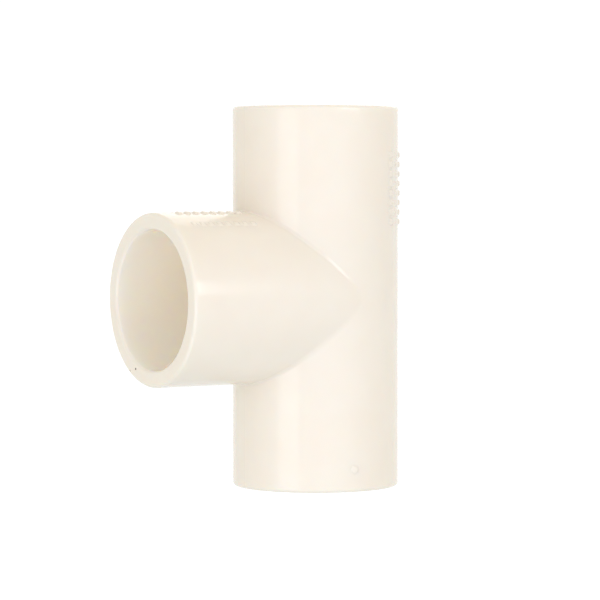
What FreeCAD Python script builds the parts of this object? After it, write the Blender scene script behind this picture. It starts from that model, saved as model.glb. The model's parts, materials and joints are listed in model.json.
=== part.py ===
import FreeCAD, Part
import os

import Sketcher
from FreeCAD import Placement, Rotation, Vector

# Plain three-socket pipe tee, injection moulded in one shot, in millimetres.
# The run stands along +Z with its lower mouth on z = 0, and the branch leaves along -X.
# The moulding is divided square across, just clear of the crease, into three socket tubes
# and the centre body, which holds the crossing and the three pipe stops.

DIMENSIONS = {
    # Barrels
    "run_radius": 13.5,
    "branch_radius": 13.86,
    "centre_to_end": 30.9,
    "crossing_half": 15.0,       # from the centre to where each socket tube begins
    # Sockets for 22.2 mm pipe, at the mean of their slight moulding taper
    "socket_radius": 11.14,
    "socket_depth": 18.0,
    "waterway_radius": 9.3,
    "entry_chamfer": 0.3,
    "mouth_round": 0.55,
    "cutter_overshoot": 1.0,     # how far a bore's cutter passes the face that it opens
    # Blend of the branch into the run
    "branch_reach": 9.1,         # how far the branch barrel passes the run's axis
    "branch_end_round": 12.0,    # sinks the barrel's inner end into the run's sides
    "crease_round": 0.5,
    # Raised marks: plain bars and discs in place of moulded lettering
    "mark_height": 0.3,
    "bar_length": 1.2,
    "bar_pitch": 1.55,
    "branch_bar_start": 3.4,     # branch mouth to the first bar
    "run_bar_start": 42.5,       # lower mouth to the first bar
    "pip_radius": 0.8,
    "pip_rise": 3.6,             # lower mouth to the middle of the pip
    "gate_radius": 1.7,
}
WHOLE_RUN = "centre_to_end centre_to_end"
SHEET = "dims"
BARS_IN_A_ROW = 8
BAR_WIDTH_ANGLE = 6.5                # degrees of the barrel that a bar covers
BRANCH_ROW_ANGLES = (8, 29)          # degrees from straight up, towards -Y
RUN_ROW_ANGLES = (-58, -46, -34)     # degrees about +Z, from +X
PIP_ANGLE = -95
GATE_ANGLE = 0
NEAR = 0.1                           # how close counts as the same when edges are picked

UP = Vector(0, 0, 1)
NO_TURN = Rotation()
UP_TO_PLUS_X = Rotation(Vector(0, 1, 0), 90)
UPSIDE_DOWN = Rotation(Vector(1, 0, 0), 180)


# --- Driving dimensions ---


def amount(terms):
    """Add up signed dimension names, such as "centre_to_end -socket_depth"."""
    return sum(-DIMENSIONS[t[1:]] if t[0] == "-" else DIMENSIONS[t] for t in terms.split())


def negated(terms):
    return " ".join(t[1:] if t[0] == "-" else f"-{t}" for t in terms.split())


def formula(terms):
    """The same sum as an expression on the sheet's cells."""
    return " ".join(f"-{SHEET}.{t[1:]}" if t[0] == "-" else f"+{SHEET}.{t}" for t in terms.split())


def bind(thing, **sizes):
    """Drive an object's properties from the sheet."""
    for prop, terms in sizes.items():
        thing.setExpression(prop, formula(terms))


def make_sheet(doc):
    """One driving dimension to a row, its cell named by its alias."""
    sheet = doc.addObject("Spreadsheet::Sheet", SHEET)
    for row, (alias, value) in enumerate(DIMENSIONS.items(), start=1):
        sheet.set(f"A{row}", alias)
        sheet.set(f"B{row}", str(value))
        sheet.setAlias(f"B{row}", alias)
    doc.recompute()


# --- Sketches ---


def start_sketch(body, name, plane_role):
    """Empty sketch on one of the body's own origin planes."""
    sketch = body.newObject("Sketcher::SketchObject", name)
    plane = next(p for p in body.Origin.OriginFeatures if p.Role == plane_role)
    sketch.AttachmentSupport = (plane, [""])
    sketch.MapMode = "FlatFace"
    return sketch


def drive(sketch, terms, *constraint):
    """Add a constraint whose value follows the sheet."""
    index = sketch.addConstraint(Sketcher.Constraint(*constraint, amount(terms)))
    sketch.setExpression(f"Constraints[{index}]", formula(terms))


def circle_sketch(body, name, plane_role, *radii):
    """Circles about the sketch's origin."""
    sketch = start_sketch(body, name, plane_role)
    for radius in radii:
        edge = sketch.addGeometry(Part.Circle(Vector(), UP, amount(radius)), False)
        sketch.addConstraint(Sketcher.Constraint("Coincident", edge, 3, -1, 1))
        drive(sketch, radius, "Radius", edge)
    return sketch


def place_start(sketch, line, direction, terms):
    """Set how far a line's start lies from the sketch's origin in one direction."""
    if not terms:
        axis = {"DistanceX": -2, "DistanceY": -1}[direction]
        sketch.addConstraint(Sketcher.Constraint("PointOnObject", line, 1, axis))
    elif amount(terms) > 0:
        drive(sketch, terms, direction, -1, 1, line, 1)
    else:
        drive(sketch, negated(terms), direction, line, 1, -1, 1)


def outline_sketch(body, name, corners):
    """Closed straight-sided outline on the XZ plane, each corner a pair of terms."""
    sketch = start_sketch(body, name, "XZ_Plane")
    places = [Vector(amount(x), amount(z), 0) for x, z in corners]
    lines = [
        sketch.addGeometry(Part.LineSegment(start, end), False)
        for start, end in zip(places, places[1:] + places[:1])
    ]
    for line, following in zip(lines, lines[1:] + lines[:1]):
        sketch.addConstraint(Sketcher.Constraint("Coincident", line, 2, following, 1))
    for line, (x, z) in zip(lines, corners):
        place_start(sketch, line, "DistanceX", x)
        place_start(sketch, line, "DistanceY", z)
    return sketch


# --- Features of the moulding ---


def is_circle(edge):
    return edge.Curve.TypeId == "Part::GeomCircle"


def edge_names(feature, wanted):
    """Names of the feature's edges that pass a test."""
    edges = enumerate(feature.Shape.Edges, start=1)
    return [f"Edge{number}" for number, edge in edges if wanted(edge)]


def dress(body, kind, name, base, wanted, size_prop, terms):
    """Fillet or chamfer the chosen edges of a finished feature."""
    body.Document.recompute()
    chosen = edge_names(base, wanted)
    if not chosen:
        raise RuntimeError(f"{name} found no edge")
    feature = body.newObject(kind, name)
    feature.Base = (base, chosen)
    bind(feature, **{size_prop: terms})
    return feature


def bore(body, name, sketch, axis):
    """Turn a stepped bore into the body and make sure that it took material away."""
    body.Document.recompute()
    before = body.Shape.Volume
    groove = body.newObject("PartDesign::Groove", name)
    groove.Profile = sketch
    groove.ReferenceAxis = (sketch, [axis])
    groove.Angle = 360
    body.Document.recompute()
    if body.Shape.Volume >= before:
        raise RuntimeError(f"{name} cut nothing")


def make_socket(doc, label, outer_radius, turn, mouth):
    """Socket tube, drawn with its mouth at the origin and its bore running up +Z."""
    body = doc.addObject("PartDesign::Body", label)
    ring = circle_sketch(body, f"{label}_ring", "XY_Plane", outer_radius, "socket_radius")
    tube = body.newObject("PartDesign::Pad", f"{label}_tube")
    tube.Profile = ring
    bind(tube, Length="centre_to_end -crossing_half")

    def at_mouth(edge, radius):
        in_mouth_plane = is_circle(edge) and edge.BoundBox.ZMax < NEAR
        return in_mouth_plane and abs(edge.Curve.Radius - amount(radius)) < NEAR

    rim = dress(
        body, "PartDesign::Fillet", f"{label}_rim", tube,
        lambda edge: at_mouth(edge, outer_radius), "Radius", "mouth_round",
    )
    dress(
        body, "PartDesign::Chamfer", f"{label}_entry", rim,
        lambda edge: at_mouth(edge, "socket_radius"), "Size", "entry_chamfer",
    )
    body.Placement = Placement(mouth, turn)
    return body


def make_centre_body(doc, centre):
    """Crossing of the two barrels, drawn about its own centre."""
    body = doc.addObject("PartDesign::Body", "centre_body")

    barrel = body.newObject("PartDesign::Pad", "branch_barrel")
    barrel.Profile = circle_sketch(body, "branch_circle", "YZ_Plane", "branch_radius")
    barrel.SideType = "Two sides"
    bind(barrel, Length="branch_reach", Length2="crossing_half")
    dress(
        body, "PartDesign::Fillet", "branch_sunk_end", barrel,
        lambda edge: is_circle(edge) and edge.BoundBox.XMin > 0, "Radius", "branch_end_round",
    )

    run = body.newObject("PartDesign::Pad", "run_barrel")
    run.Profile = circle_sketch(body, "run_circle", "XY_Plane", "run_radius")
    run.SideType = "Symmetric"
    bind(run, Length="crossing_half crossing_half")
    dress(
        body, "PartDesign::Fillet", "crease", run,
        lambda edge: edge.Curve.TypeId == "Part::GeomBSplineCurve", "Radius", "crease_round",
    )

    face, stop = "crossing_half cutter_overshoot", "centre_to_end -socket_depth"
    run_half = [("socket_radius", face), ("socket_radius", stop), ("waterway_radius", stop)]
    other_half = [(radius, negated(height)) for radius, height in reversed(run_half)]
    run_corners = [("", face), *run_half, *other_half, ("", negated(face))]
    bore(body, "run_bore", outline_sketch(body, "run_bore_outline", run_corners), "V_Axis")

    branch_corners = [(negated(along), radius) for radius, along in run_half]
    branch_corners = [(negated(face), ""), *branch_corners, ("", "waterway_radius"), ("", "")]
    bore(body, "branch_bore", outline_sketch(body, "branch_bore_outline", branch_corners), "H_Axis")
    body.Placement = Placement(centre, NO_TURN)
    return body


# --- Raised marks ---


def add_cylinder(doc, name, placement, radius, height, angle=360):
    cylinder = doc.addObject("Part::Cylinder", name)
    bind(cylinder, Radius=radius, Height=height)
    cylinder.Angle = angle
    cylinder.Placement = placement
    return cylinder


def boolean(doc, kind, name, base, tool):
    result = doc.addObject(kind, name)
    result.Base, result.Tool = base, tool
    return result


def make_bar_rows(doc, label, barrel_place, barrel_radius, row_angles, start):
    """Rows of curved bars that stand the mark height off a barrel's skin."""
    bars = []
    for row, angle in enumerate(row_angles):
        turn = Rotation(UP, angle - BAR_WIDTH_ANGLE / 2)
        for step in range(BARS_IN_A_ROW):
            along = amount(start) + step * amount("bar_pitch")
            place = barrel_place.multiply(Placement(UP * along, turn))
            name = f"{label}_bar_{row}_{step}"
            radius = f"{barrel_radius} mark_height"
            bars.append(add_cylinder(doc, name, place, radius, "bar_length", BAR_WIDTH_ANGLE))
    wedges = doc.addObject("Part::Compound", f"{label}_wedges")
    wedges.Links = bars
    skin = add_cylinder(doc, f"{label}_skin", barrel_place, barrel_radius, WHOLE_RUN)
    return boolean(doc, "Part::Cut", label, wedges, skin)


def make_run_pad(doc, label, radius, angle, rise):
    """Round pad that follows the run's skin at one height and angle."""
    outwards = Placement(UP * amount(rise), Rotation(UP, angle).multiply(UP_TO_PLUS_X))
    plug = add_cylinder(doc, f"{label}_plug", outwards, radius, WHOLE_RUN)
    sleeve = add_cylinder(doc, f"{label}_sleeve", Placement(), "run_radius mark_height", WHOLE_RUN)
    skin = add_cylinder(doc, f"{label}_skin", Placement(), "run_radius", WHOLE_RUN)
    disc = boolean(doc, "Part::Common", f"{label}_disc", plug, sleeve)
    return boolean(doc, "Part::Cut", label, disc, skin)


# --- Whole fitting ---


def build(doc):
    """Every sub-part of the tee, each labelled with the name of its file."""
    make_sheet(doc)
    half = amount("centre_to_end")
    centre, top, branch_end = UP * half, UP * 2 * half, Vector(-half, 0, half)
    # From the branch's mouth inwards, with angles counted from +Z towards -Y
    branch_inwards = Placement(branch_end, UP_TO_PLUS_X.multiply(Rotation(UP, 180)))
    return [
        make_centre_body(doc, centre),
        make_socket(doc, "lower_run_socket", "run_radius", NO_TURN, Vector()),
        make_socket(doc, "upper_run_socket", "run_radius", UPSIDE_DOWN, top),
        make_socket(doc, "branch_socket", "branch_radius", UP_TO_PLUS_X, branch_end),
        make_bar_rows(
            doc, "branch_marking", branch_inwards, "branch_radius",
            BRANCH_ROW_ANGLES, "branch_bar_start",
        ),
        make_bar_rows(
            doc, "run_marking", Placement(), "run_radius", RUN_ROW_ANGLES, "run_bar_start"
        ),
        make_run_pad(doc, "cavity_pip", "pip_radius", PIP_ANGLE, "pip_rise"),
        make_run_pad(doc, "gate_vestige", "gate_radius", GATE_ANGLE, "centre_to_end"),
    ]


def check(doc, parts):
    """Stop before writing if anything failed to build."""
    for thing in doc.Objects:
        if {"Invalid", "Error"} & set(thing.State):
            raise RuntimeError(f"{thing.Name}: {thing.State}")
    for part in parts:
        if part.Shape.isNull() or not part.Shape.isValid():
            raise RuntimeError(f"{part.Label} has no valid shape")


def main():
    doc = FreeCAD.newDocument("pipe_tee")
    parts = build(doc)
    doc.recompute()
    check(doc, parts)
    os.makedirs("parts", exist_ok=True)
    for part in parts:
        part.Shape.exportStep(f"parts/{part.Label}.step")
        print(part.Label, len(part.Shape.Solids), "solid(s)", round(part.Shape.Volume, 2), "mm3")


main()
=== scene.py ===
import json
import math

import bmesh
import bpy
import numpy as np
from mathutils import Matrix, Vector


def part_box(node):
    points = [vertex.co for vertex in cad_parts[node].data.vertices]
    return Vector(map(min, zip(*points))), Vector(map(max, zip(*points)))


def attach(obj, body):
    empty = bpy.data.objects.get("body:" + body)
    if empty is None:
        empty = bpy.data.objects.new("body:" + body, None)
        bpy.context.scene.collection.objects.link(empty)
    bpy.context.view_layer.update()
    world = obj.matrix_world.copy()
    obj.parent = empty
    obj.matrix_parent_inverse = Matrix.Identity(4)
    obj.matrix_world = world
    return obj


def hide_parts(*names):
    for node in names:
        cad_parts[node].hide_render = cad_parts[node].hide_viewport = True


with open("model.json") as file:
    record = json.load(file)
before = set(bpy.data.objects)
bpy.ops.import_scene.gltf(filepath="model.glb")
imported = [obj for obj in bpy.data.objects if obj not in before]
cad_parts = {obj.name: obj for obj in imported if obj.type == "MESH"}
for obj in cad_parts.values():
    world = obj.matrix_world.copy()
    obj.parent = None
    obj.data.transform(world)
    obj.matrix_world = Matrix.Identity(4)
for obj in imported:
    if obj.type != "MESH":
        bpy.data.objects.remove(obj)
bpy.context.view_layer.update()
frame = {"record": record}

# Metres throughout. The run stands along +Z on z = 0 and the branch leaves along -X.
MM = 0.001

# --- Sizes read from the frame ---

run_low, run_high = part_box("lower_run_socket")
branch_low, branch_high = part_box("branch_socket")
RUN_R = (run_high.y - run_low.y) / 2
BRANCH_R = (branch_high.y - branch_low.y) / 2
ARM = -branch_low.x                      # from the centre of the tee to each mouth
CENTRE = np.array([0, 0, ARM])
SOCKET_R = next(m["dims"]["r_mm"] for m in frame["record"]["mounts"] if "r_mm" in m["dims"]) * MM

# --- Sizes of the moulding's own detail ---

SOCKET_DEPTH = 18.0 * MM
SOCKET_TAPER = 0.0875 * MM               # wider at the mouth and tighter at the stop by this
WATERWAY_R = 9.3 * MM
MOUTH_ROUND = 0.55 * MM
ENTRY_CHAMFER = 0.3 * MM
SOFT_EDGE = 0.08 * MM                    # rounding of the chamfer's and the stop's corners
CREASE_ROUND = 0.5 * MM
WATERWAY_ROUND = 0.35 * MM
OUTER_REACH = 17.2 * MM                  # from the centre to where the plain barrels begin
INNER_REACH = 12.0 * MM                  # the same for the waterway
SIDE_FADE_FROM = -6.5 * MM               # x where the branch's wider sides start to sink away
BRANCH_END = 5.0 * MM                    # x inside the run where the branch barrel stops
SEAM_HEIGHT = 0.015 * MM                 # witness line where the two halves of the mould met
SEAM_HALF_WIDTH = 0.12 * MM
MARK_HEIGHT = 0.3 * MM
MARK_DIP = 0.01 * MM                     # where a mark's shoulder runs out, just below the skin
MARK_FOOT = 0.08 * MM                    # how far a mark reaches below the skin
SHOULDER = 0.6                           # share of a mark's half width that its soft side takes
PIP_HEIGHT = 0.15 * MM
BARS_IN_A_ROW = 8
BAR_LENGTH = 1.2 * MM
BAR_WIDTH_ANGLE = 6.5                    # degrees of barrel
BAR_SQUARENESS = 5                       # 2 would make an ellipse, and more nears a rectangle
# Rows of bars, as (degrees round the barrel, height); those facing forward are fainter
BRANCH_ROWS = [(8, MARK_HEIGHT), (29, 0.15 * MM)]                  # from the top, towards -Y
RUN_ROWS = [(-58, 0.12 * MM), (-46, 0.12 * MM), (-34, 0.25 * MM)]  # about +Z, from +X

QUARTER_COLUMNS = 46                     # even mesh columns in a quarter of each barrel


def make_half_turn():
    """Angles of the mesh columns over half a turn, closer together beside the mould's seam."""
    seam = SEAM_HALF_WIDTH / RUN_R
    even = np.linspace(2.5 * seam, math.pi / 2, QUARTER_COLUMNS)
    quarter = np.concatenate([[0.5 * seam, seam], even])
    return np.concatenate([-quarter[::-1], [0], quarter])


HALF_TURN = make_half_turn()
FULL_TURN = np.concatenate([HALF_TURN, HALF_TURN[1:] + math.pi])


def seam_ridge(y):
    """Height of the mould's witness line at a distance y from the plane that the halves met on."""
    return SEAM_HEIGHT * np.maximum(1 - (y / SEAM_HALF_WIDTH) ** 2, 0) ** 2


# --- Mesh building ---


class Skin:
    """Collects grids of quads and makes one closed, welded mesh of them."""

    def __init__(self):
        self.points, self.faces, self.count = [], [], 0

    def add_grid(self, grid):
        """Quads over a (rows, columns, 3) array of points."""
        rows, columns = grid.shape[:2]
        index = np.arange(rows * columns).reshape(rows, columns) + self.count
        corners = [index[:-1, :-1], index[:-1, 1:], index[1:, 1:], index[1:, :-1]]
        self.faces.append(np.stack([c.ravel() for c in corners], axis=1))
        self.points.append(grid.reshape(-1, 3))
        self.count += rows * columns

    def make(self, name, weld=1e-7):
        mesh = bpy.data.meshes.new(name)
        points, faces = np.concatenate(self.points), np.concatenate(self.faces)
        mesh.from_pydata(points.tolist(), [], faces.tolist())
        work = bmesh.new()
        work.from_mesh(mesh)
        bmesh.ops.remove_doubles(work, verts=work.verts, dist=weld)
        bmesh.ops.dissolve_degenerate(work, edges=work.edges, dist=weld / 10)
        bmesh.ops.recalc_face_normals(work, faces=work.faces)
        open_edges = sum(not edge.is_manifold for edge in work.edges)
        if open_edges:
            raise RuntimeError(f"{name} has {open_edges} open edges")
        work.to_mesh(mesh)
        work.free()
        mesh.shade_smooth()
        piece = bpy.data.objects.new(name, mesh)
        bpy.context.scene.collection.objects.link(piece)
        return piece


class Leg:
    """One arm of the tee: its outward axis, and the directions of angle 0 and 90 degrees."""

    def __init__(self, axis, zero, quarter, radius):
        self.axis, self.zero, self.quarter = (np.array(v, float) for v in (axis, zero, quarter))
        self.radius = radius

    def place(self, radius, along, angle):
        """Points at distances along the arm from the tee's centre, for arrays that broadcast."""
        radius, along, angle = np.broadcast_arrays(radius, along, angle)
        out = np.cos(angle)[..., None] * self.zero + np.sin(angle)[..., None] * self.quarter
        return CENTRE + along[..., None] * self.axis + radius[..., None] * out


UPPER = Leg((0, 0, 1), (-1, 0, 0), (0, 1, 0), RUN_R)
LOWER = Leg((0, 0, -1), (-1, 0, 0), (0, 1, 0), RUN_R)
BRANCH = Leg((-1, 0, 0), (0, 0, 1), (0, 1, 0), BRANCH_R)


def arc(centre, radius, start, end, steps=6):
    """Points of a profile's arc, as (radius, along) pairs, with angles in degrees."""
    turn = np.radians(np.linspace(start, end, steps + 1))
    return [(centre[0] + radius * math.cos(a), centre[1] + radius * math.sin(a)) for a in turn]


# --- The crossing of two barrels ---


def rounded_union(a, b, radius):
    """Distance to two shapes joined by a fillet, from the distance to each."""
    inside = np.hypot(np.maximum(radius - a, 0), np.maximum(radius - b, 0))
    return np.maximum(radius, np.minimum(a, b)) - inside


class Crossing:
    """Skin of a run barrel and a branch barrel that meet at the tee's centre."""

    def __init__(self, run_r, branch_r, rounding, reach, seam):
        self.run_r, self.branch_r, self.rounding, self.reach = run_r, branch_r, rounding, reach
        self.seam = seam
        self.proud = branch_r - run_r

    def branch_radius_at(self, x):
        """Radius of the branch barrel, which shrinks on a long arc to meet the run's side."""
        if not self.proud:
            return np.full_like(x, self.branch_r)
        fade_r = SIDE_FADE_FROM**2 / (2 * self.proud) + self.proud / 2
        drop = np.clip(x - SIDE_FADE_FROM, 0, 0.9 * fade_r)
        return self.branch_r - fade_r + np.sqrt(fade_r**2 - drop**2)

    def distance(self, p):
        """Signed distance, near the skin, of points about the tee's centre."""
        x, y, z = p[..., 0], p[..., 1], p[..., 2]
        run_out, branch_out = np.hypot(x, y), np.hypot(y, z)
        to_run = run_out - self.run_r
        end = BRANCH_END if self.proud else 0.0
        to_branch = np.maximum(branch_out - self.branch_radius_at(x), x - end)
        # The fillet fades where the barrels run side by side, so that it adds no swelling
        facing = y * y / np.maximum(run_out * branch_out, 1e-12)
        radius = self.rounding * np.sqrt(np.clip(1 - facing**2, 1e-6, 1))
        ridge = seam_ridge(y) if self.seam else 0
        return rounded_union(to_run, to_branch, radius) - ridge

    def settle(self, points):
        """Move points straight onto the skin by Newton's method."""
        p, step, rounds = points - CENTRE, 1e-6, 12
        for _ in range(rounds):
            gap = self.distance(p)
            slope = np.stack(
                [self.distance(p + step * e) - self.distance(p - step * e) for e in np.eye(3)],
                axis=-1,
            ) / (2 * step)
            # Columns beside the seam keep their y, so that its ridge stays sharp
            by_seam = np.abs(p[..., 1]) < 2 * SEAM_HALF_WIDTH
            slope[..., 1] = np.where(by_seam, 0, slope[..., 1])
            p = p - (gap / np.maximum((slope**2).sum(-1), 0.2))[..., None] * slope
        return p + CENTRE

    def crease(self, share):
        """Angle round the run and height of the crease, for a column's share from -1 to 1."""
        turn = np.sin(share * math.pi / 2) * math.pi / 2     # finer where the crease closes
        x = -self.run_r * np.cos(turn)
        height = np.sqrt(np.maximum(self.branch_radius_at(x) ** 2 - self.run_r**2 + x**2, 0))
        return turn, np.where(np.abs(share) > 1 - 1e-9, 0, height)

    def offsets(self, start):
        """Distances of the rows from the crease to where the plain barrel begins."""
        near = np.linspace(0, 2 * self.rounding, 13)
        far = np.linspace(0, 1, 13)[1:, None] ** 1.3 * (self.reach - start - near[-1])
        return np.concatenate([np.repeat(near[:, None], len(start), 1), far + near[-1]])

    def front(self, flip):
        """Grid from a run leg, over the crease, to the branch leg; flip is 1 up, -1 down."""
        share = HALF_TURN / (math.pi / 2)
        turn, height = self.crease(share)
        rows = self.offsets(height)
        run_turn = turn + (HALF_TURN - turn) * rows / rows[-1]
        x, y = -self.run_r * np.cos(run_turn), self.run_r * np.sin(run_turn)
        up = np.stack([x, y, height + rows], -1)
        start_x = self.run_r * np.cos(turn)
        start_turn = np.arctan2(self.run_r * np.sin(turn), height)
        rows = self.offsets(start_x)
        branch_turn = start_turn + (HALF_TURN - start_turn) * rows / rows[-1]
        y, z = self.branch_r * np.sin(branch_turn), self.branch_r * np.cos(branch_turn)
        out = np.stack([-(start_x + rows), y, z], -1)
        grid = np.concatenate([up[::-1], out[1:]]) * [1, 1, flip]
        return self.settle(grid + CENTRE)

    def back(self):
        """Grid down the side of the run that faces away from the branch."""
        rows = self.offsets(np.zeros(1))[:, 0]
        heights = np.concatenate([rows[::-1], -rows[1:]])[:, None]
        x, y = self.run_r * np.cos(HALF_TURN), self.run_r * np.sin(HALF_TURN)
        grid = np.stack(np.broadcast_arrays(x, y, heights), -1)
        return self.settle(grid + CENTRE)

    def add_to(self, skin):
        for grid in (self.front(1), self.front(-1), self.back()):
            skin.add_grid(grid)


# --- Moulding ---


def mouth_profile(leg, inner_start):
    """From the barrel, round the mouth and down the bore, as (radius, along) pairs."""
    stop = ARM - SOCKET_DEPTH
    mouth_r, stop_r = SOCKET_R + SOCKET_TAPER, SOCKET_R - SOCKET_TAPER
    face_r = mouth_r + ENTRY_CHAMFER
    rim = (leg.radius - MOUTH_ROUND, ARM - MOUTH_ROUND)
    mouth = arc(rim, MOUTH_ROUND, 0, 90, 8)
    face = [(r, ARM) for r in np.linspace(rim[0], face_r + SOFT_EDGE, 5)[1:]]
    chamfer = [
        (face_r + SOFT_EDGE / 3, ARM - SOFT_EDGE / 8),
        (face_r - SOFT_EDGE / 3, ARM - SOFT_EDGE / 2),
        (mouth_r + SOFT_EDGE / 2, ARM - ENTRY_CHAMFER + SOFT_EDGE / 3),
        (mouth_r + SOFT_EDGE / 8, ARM - ENTRY_CHAMFER - SOFT_EDGE / 3),
    ]
    top, foot = ARM - ENTRY_CHAMFER - SOFT_EDGE, stop + 3 * SOFT_EDGE
    down = np.linspace(0, 1, 12)
    bore = [(mouth_r + (stop_r - mouth_r) * d, top + (foot - top) * d) for d in down]
    corner = arc((stop_r - 3 * SOFT_EDGE, foot), 3 * SOFT_EDGE, 0, -90, 5)
    lip = arc((WATERWAY_R + 2 * SOFT_EDGE, stop - 2 * SOFT_EDGE), 2 * SOFT_EDGE, 90, 180, 5)
    return mouth + face + chamfer + bore + corner + lip + [(WATERWAY_R, inner_start)]


def leg_grid(leg, outer_start, inner_start):
    """Grid of one arm: out over its barrel, round the mouth and back down the bore."""
    barrel_end = ARM - MOUTH_ROUND
    barrel = np.array([(leg.radius, t) for t in np.linspace(outer_start, barrel_end, 11)[:-1]])
    profile = np.concatenate([barrel, mouth_profile(leg, inner_start)])
    ridge_share = np.zeros(len(profile))
    ridge_share[:len(barrel)] = 1
    turn = (profile[len(barrel):, 0] - (leg.radius - MOUTH_ROUND)) / MOUTH_ROUND
    ridge_share[len(barrel):] = np.clip(turn, 0, 1)
    ridge = ridge_share[:, None] * seam_ridge(leg.radius * np.sin(FULL_TURN))[None, :]
    return leg.place(profile[:, :1] + ridge, profile[:, 1:], FULL_TURN[None, :])


def make_moulding():
    """The whole moulding as one unbroken skin, inside and out."""
    outer = Crossing(RUN_R, BRANCH_R, CREASE_ROUND, OUTER_REACH, seam=True)
    inner = Crossing(WATERWAY_R, WATERWAY_R, WATERWAY_ROUND, INNER_REACH, seam=False)
    skin = Skin()
    outer.add_to(skin)
    inner.add_to(skin)
    for leg in (UPPER, LOWER, BRANCH):
        skin.add_grid(leg_grid(leg, outer.reach, inner.reach))
    return skin.make("moulding")


# --- Raised marks ---


def pad_profile(height):
    """From a pad's middle, down its soft side and back underneath, as (share, rise) pairs."""
    crown = 1 - SHOULDER
    bend = np.linspace(0, 1, 13)
    fall = height - (height + MARK_DIP) * (1 - np.cos(bend * math.pi)) / 2
    flat = [(s * crown, height) for s in (0, 0.4, 0.75)]
    edge = list(zip(crown + SHOULDER * bend, fall))
    under = [(1, -MARK_FOOT), (0.6, -MARK_FOOT), (0, -MARK_FOOT)]
    return np.array(flat + edge + under)


def make_pads(name, leg, spots, half_along, half_around, squareness=2):
    """Low pads that swell softly out of the skin at (along, angle, height) spots."""
    turn = np.linspace(0, 2 * math.pi, 41)[None, :]
    wave = np.abs(np.cos(turn)) ** squareness + np.abs(np.sin(turn)) ** squareness
    pads = Skin()
    for along, angle, height in spots:
        share, rise = pad_profile(height).T[:, :, None]
        reach = share * wave ** (-1 / squareness)
        around = angle + half_around * reach * np.sin(turn) / leg.radius
        out = along + half_along * reach * np.cos(turn)
        pads.add_grid(leg.place(leg.radius + rise, out, around))
    return pads.make(name)


def bar_spots(places, rows):
    """Spots for a bar at each place along each (angle, height) row."""
    return [(place, angle, height) for angle, height in rows for place in places]


def bar_places(low, high):
    """Middles of a row of bars that fills a span."""
    return np.linspace(low + BAR_LENGTH / 2, high - BAR_LENGTH / 2, BARS_IN_A_ROW)


def make_marks():
    """Every raised mark, by the CAD node that it stands for."""
    half_length, half_angle = BAR_LENGTH / 2, math.radians(BAR_WIDTH_ANGLE / 2)
    low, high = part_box("branch_marking")
    rows = [(-math.radians(angle), height) for angle, height in BRANCH_ROWS]
    spots = bar_spots(-bar_places(low.x, high.x), rows)
    branch = make_pads(
        "branch_bars", BRANCH, spots, half_length, half_angle * BRANCH_R, BAR_SQUARENESS)

    low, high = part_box("run_marking")
    rows = [(math.pi - math.radians(angle), height) for angle, height in RUN_ROWS]
    spots = bar_spots(bar_places(low.z, high.z) - ARM, rows)
    run = make_pads("run_bars", UPPER, spots, half_length, half_angle * RUN_R, BAR_SQUARENESS)

    marks = {"branch_marking": branch, "run_marking": run}
    discs = (("cavity_pip", "mould_pip", PIP_HEIGHT), ("gate_vestige", "gate_scar", MARK_HEIGHT))
    for node, name, height in discs:
        low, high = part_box(node)
        middle, radius = (low + high) / 2, (high.z - low.z) / 2
        spot = (middle.z - ARM, math.pi - math.atan2(middle.y, middle.x), height)
        marks[node] = make_pads(name, UPPER, [spot], radius, radius)
    return marks


# --- Material ---


class Nodes:
    """Short calls for building a material's node tree."""

    def __init__(self, name):
        self.material = bpy.data.materials.new(name)
        self.material.use_nodes = True
        self.tree = self.material.node_tree
        self.tree.nodes.clear()

    def add(self, kind, inputs=None, **settings):
        """A node with its sockets set to constants or joined to other nodes' sockets."""
        node = self.tree.nodes.new(kind)
        for key, value in settings.items():
            setattr(node, key, value)
        for key, value in (inputs or {}).items():
            if isinstance(value, bpy.types.NodeSocket):
                self.tree.links.new(value, node.inputs[key])
            else:
                node.inputs[key].default_value = value
        return node

    def noise(self, where, size, detail=2.0):
        """Noise with features of about the given size, in metres."""
        inputs = {"Vector": where, "Scale": 1 / size, "Detail": detail, "Roughness": 0.5}
        return self.add("ShaderNodeTexNoise", inputs).outputs["Fac"]

    def remap(self, value, low, high, to_low, to_high):
        inputs = {"Value": value, "From Min": low, "From Max": high,
                  "To Min": to_low, "To Max": to_high}
        node = self.add("ShaderNodeMapRange", inputs, interpolation_type="SMOOTHSTEP")
        return node.outputs["Result"]

    def mix(self, share, a, b):
        """Colour a blended into colour b; the sockets go by number, as their names repeat."""
        node = self.add("ShaderNodeMix", data_type="RGBA")
        for index, value in ((0, share), (6, a), (7, b)):
            if isinstance(value, bpy.types.NodeSocket):
                self.tree.links.new(value, node.inputs[index])
            else:
                node.inputs[index].default_value = value
        return node.outputs[2]

    def bump(self, height, distance, normal=None):
        inputs = {"Height": height, "Strength": 1.0, "Distance": distance}
        if normal is not None:
            inputs["Normal"] = normal
        return self.add("ShaderNodeBump", inputs).outputs["Normal"]


CREAM = (0.93, 0.855, 0.745, 1)
CREAM_DEEP = (0.92, 0.84, 0.725, 1)
BORE_PAINTED_LIGHT_CREAM = (0.995, 0.87, 0.785, 1)     # painted light: paler and warmer than the outside, for the light that reaches the bores through the wall
TRANSLUCENCY = 0.3                       # share of the light that scatters below the skin
BORE_TRANSLUCENCY = 1.0
SCATTER = 2 * MM                         # how far light travels in the plastic
BORE_SCATTER = 8 * MM
BORE_EDGE = 0.3 * MM                     # width of the change from bore to outside
ROUGHNESS = (0.13, 0.19)                 # smoothest and dullest patches of the gloss
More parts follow.
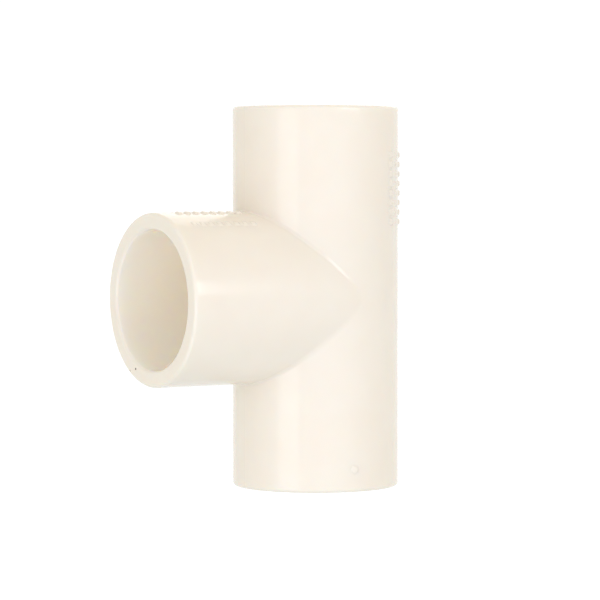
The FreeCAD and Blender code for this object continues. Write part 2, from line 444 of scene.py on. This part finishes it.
# Unevenness of the moulding, as the size, detail and depth of its features
TINT_SIZE, GLOSS_SIZE, GLOSS_DETAIL = 7 * MM, 3 * MM, 3
WAVE_SIZE, WAVE_DETAIL, WAVE_DEPTH = 9 * MM, 1, 0.05 * MM
GRAIN_SIZE, GRAIN_DETAIL, GRAIN_DEPTH = 0.5 * MM, 3, 0.0025 * MM
NOISE_SPAN = (0.3, 0.7)                  # noise below and above this counts as lowest and highest
SPECK_CORE = 0.6                         # share of a speck's radius before it starts to fade
# Specks of dirt on the branch's mouth, as (place, radius, colour)
SPECKS = [
    ((-ARM, 5.0 * MM, ARM - 11.1 * MM), 0.22 * MM, (0.05, 0.03, 0.02, 1)),
    ((-ARM, 6.85 * MM, ARM - 11.5 * MM), 0.22 * MM, (0.62, 0.50, 0.38, 1)),
]


def inside_share(n, where):
    """1 inside the bores of the run and the branch, and 0 on the outside."""
    from_centre = n.add("ShaderNodeVectorMath", {0: where, 1: tuple(CENTRE)},
                        operation="SUBTRACT")
    shares = []
    for flatten in ((1, 1, 0), (0, 1, 1)):
        flat = n.add("ShaderNodeVectorMath", {0: from_centre.outputs[0], 1: flatten},
                     operation="MULTIPLY")
        radius = n.add("ShaderNodeVectorMath", {0: flat.outputs[0]}, operation="LENGTH")
        shares.append(n.remap(radius.outputs["Value"], SOCKET_R, SOCKET_R + BORE_EDGE, 1, 0))
    # The branch's bore ends inside the run, so the far side of the run isn't in it
    along = n.add("ShaderNodeSeparateXYZ", {0: from_centre.outputs[0]}).outputs["X"]
    in_branch = n.remap(along, -WATERWAY_R - 0.2 * MM, -WATERWAY_R, 1, 0)
    branch = n.add("ShaderNodeMath", {0: shares[1], 1: in_branch}, operation="MULTIPLY")
    either = {0: shares[0], 1: branch.outputs[0]}
    return n.add("ShaderNodeMath", either, operation="MAXIMUM").outputs[0]


def make_plastic(name, translucency, bored=False):
    """Glossy cream plastic, with the slight unevenness of a moulding, and painted light in the
    bores when bored.
    """
    n = Nodes(name)
    where = n.add("ShaderNodeTexCoord").outputs["Object"]
    tint = n.remap(n.noise(where, TINT_SIZE), *NOISE_SPAN, 0, 1)
    colour = n.mix(tint, CREAM, CREAM_DEEP)
    scatter = SCATTER
    if bored:
        inside = inside_share(n, where)
        # Painted light: the bores take a paler, warmer colour for the light that comes through the
        # wall
        colour = n.mix(inside, colour, BORE_PAINTED_LIGHT_CREAM)
        translucency = n.remap(inside, 0, 1, translucency, BORE_TRANSLUCENCY)
        scatter = n.remap(inside, 0, 1, SCATTER, BORE_SCATTER)
        for place, radius, dirt in SPECKS:
            offset = n.add("ShaderNodeVectorMath", {0: where, 1: place}, operation="DISTANCE")
            share = n.remap(offset.outputs["Value"], SPECK_CORE * radius, radius, 1, 0)
            colour = n.mix(share, colour, dirt)
    roughness = n.remap(n.noise(where, GLOSS_SIZE, GLOSS_DETAIL), *NOISE_SPAN, *ROUGHNESS)
    waves = n.bump(n.noise(where, WAVE_SIZE, WAVE_DETAIL), WAVE_DEPTH)
    normal = n.bump(n.noise(where, GRAIN_SIZE, GRAIN_DETAIL), GRAIN_DEPTH, waves)
    shader = n.add("ShaderNodeBsdfPrincipled", {
        "Base Color": colour,
        "Roughness": roughness,
        "IOR": 1.5,
        "Subsurface Weight": translucency,
        "Subsurface Radius": (1.0, 0.75, 0.5),
        "Subsurface Scale": scatter,
        "Normal": normal,
    })
    n.add("ShaderNodeOutputMaterial", {"Surface": shader.outputs["BSDF"]})
    return n.material


def finish_piece(piece, material, *nodes):
    """Give a piece its material, and let it stand for its CAD nodes."""
    piece.data.materials.append(material)
    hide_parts(*nodes)
    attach(piece, "root")


plastic = make_plastic("cream_plastic_moulded", TRANSLUCENCY, bored=True)
mark_plastic = make_plastic("cream_plastic_marks", 0.0)  # too thin to carry light inside
moulding_nodes = ("centre_body", "lower_run_socket", "upper_run_socket", "branch_socket")
finish_piece(make_moulding(), plastic, *moulding_nodes)
for marked_node, mark in make_marks().items():
    finish_piece(mark, mark_plastic, marked_node)

# --- Floor and light ---


# The studio's glow, as (direction it comes from, colour). Each glow fades with the square of the
# cosine, so that six equal ones would make an even white room.
RIGHT, AWAY, UP = (0.84, -0.543, 0), (0.543, 0.84, 0), (0, 0, 1)  # as the camera sees them
GLOWS = [
    (RIGHT, (0.745, 0.73, 0.69)),
    ((-RIGHT[0], -RIGHT[1], 0), (0.665, 0.66, 0.615)),
    (AWAY, (1.05, 1.05, 1.05)),
    ((-AWAY[0], -AWAY[1], 0), (1.025, 1.06, 1.205)),
    (UP, (0.82, 0.77, 0.65)),
    ((0, 0, -1), (0.57, 0.62, 0.60)),
]
# Softboxes, as (name, direction from the tee, distance, width, height, watts a square metre)
SOFTBOXES = [
    ("key_box", (0.20, -0.94, 0.28), 0.6, 0.24, 0.16, 8.8),
    ("key_wing", (0.417, -0.87, 0.26), 0.6, 0.07, 0.16, 8.8),
    ("left_strip", (-0.93, -0.32, -0.12), 0.5, 0.26, 0.30, 3.8),
    ("back_box", (0.545, 0.60, 0.56), 0.6, 0.34, 0.40, 2.0),
    ("low_fill", (-0.62, -0.30, -0.72), 0.5, 0.30, 0.20, 2.8),
]
FLOOR_HALF, FLOOR_DROP = 4.0, 0.1 * MM   # half its side, and how far it lies under the mouth
FLOOR_GLOW = 1.1                         # just over paper white, so that it shows as pure white


def make_floor():
    """White table that only the camera sees: the lower glow stands for the light it sends up."""
    around = ((-1, -1), (1, -1), (1, 1), (-1, 1))
    corners = [(x * FLOOR_HALF, y * FLOOR_HALF, -FLOOR_DROP) for x, y in around]
    mesh = bpy.data.meshes.new("floor")
    mesh.from_pydata(corners, [], [(0, 1, 2, 3)])
    floor = bpy.data.objects.new("floor", mesh)
    n = Nodes("white_floor")
    glow = n.add("ShaderNodeEmission", {"Color": (1, 1, 1, 1), "Strength": FLOOR_GLOW})
    n.add("ShaderNodeOutputMaterial", {"Surface": glow.outputs[0]})
    mesh.materials.append(n.material)
    bpy.context.scene.collection.objects.link(floor)
    floor.visible_diffuse = floor.visible_glossy = floor.visible_shadow = False


def make_world():
    """Room light: the sum of the glows, each times the square of its direction's cosine."""
    world = bpy.data.worlds.new("studio")
    world.use_nodes = True
    tree = world.node_tree
    back = tree.nodes["Background"]
    where = tree.nodes.new("ShaderNodeTexCoord").outputs["Generated"]
    total = None
    for direction, colour in GLOWS:
        facing = tree.nodes.new("ShaderNodeVectorMath")
        facing.operation = "DOT_PRODUCT"
        tree.links.new(where, facing.inputs[0])
        facing.inputs[1].default_value = direction
        clamp = tree.nodes.new("ShaderNodeMath")
        clamp.operation = "MAXIMUM"
        tree.links.new(facing.outputs["Value"], clamp.inputs[0])
        clamp.inputs[1].default_value = 0
        square = tree.nodes.new("ShaderNodeMath")
        square.operation = "MULTIPLY"
        tree.links.new(clamp.outputs[0], square.inputs[0])
        tree.links.new(clamp.outputs[0], square.inputs[1])
        add = tree.nodes.new("ShaderNodeVectorMath")
        add.operation = "MULTIPLY_ADD"
        tree.links.new(square.outputs[0], add.inputs[0])
        add.inputs[1].default_value = colour
        if total is None:
            add.inputs[2].default_value = (0, 0, 0)
        else:
            tree.links.new(total, add.inputs[2])
        total = add.outputs[0]
    tree.links.new(total, back.inputs["Color"])
    bpy.context.scene.world = world


def add_softbox(name, direction, distance, width, height, power_per_area):
    """Rectangular light that faces the tee from a direction, and that the camera doesn't see."""
    aim = Vector(direction).normalized()
    data = bpy.data.lights.new(name, "AREA")
    data.shape, data.size, data.size_y = "RECTANGLE", width, height
    data.energy = power_per_area * width * height
    light = bpy.data.objects.new(name, data)
    light.location = Vector(CENTRE) + aim * distance
    light.rotation_euler = aim.to_track_quat("Z", "Y").to_euler()
    light.visible_camera = False
    bpy.context.scene.collection.objects.link(light)


make_floor()
make_world()
for softbox in SOFTBOXES:
    add_softbox(*softbox)

# --- Camera ---


def aim_camera():
    """Long lens, almost level, a third of the way round from the run's side to the branch."""
    azimuth, elevation = math.radians(-32.904), math.radians(2.392)
    pan, tilt = math.radians(-0.307), math.radians(-0.078)
    distance, lens, sensor_width = 469.7 * MM, 172.23, 36    # the last two in millimetres
    back = Vector((
        math.sin(azimuth) * math.cos(elevation),
        -math.cos(azimuth) * math.cos(elevation),
        math.sin(elevation),
    ))
    right = Vector((math.cos(azimuth), math.sin(azimuth), 0))
    up = right.cross(-back)
    turned = -back * math.cos(pan) + right * math.sin(pan)
    right = right * math.cos(pan) + back * math.sin(pan)
    forward = turned * math.cos(tilt) + up * math.sin(tilt)
    up = up * math.cos(tilt) - turned * math.sin(tilt)
    data = bpy.data.cameras.new("camera")
    camera = bpy.data.objects.new("camera", data)
    data.sensor_width, data.lens = sensor_width, lens
    data.clip_start, data.clip_end = 0.01, 20
    place = Matrix.Translation(Vector(CENTRE) + back * distance)
    camera.matrix_world = place @ Matrix((right, up, -forward)).transposed().to_4x4()
    bpy.context.scene.collection.objects.link(camera)
    bpy.context.scene.camera = camera


aim_camera()
bpy.context.scene.view_settings.view_transform = "Standard"
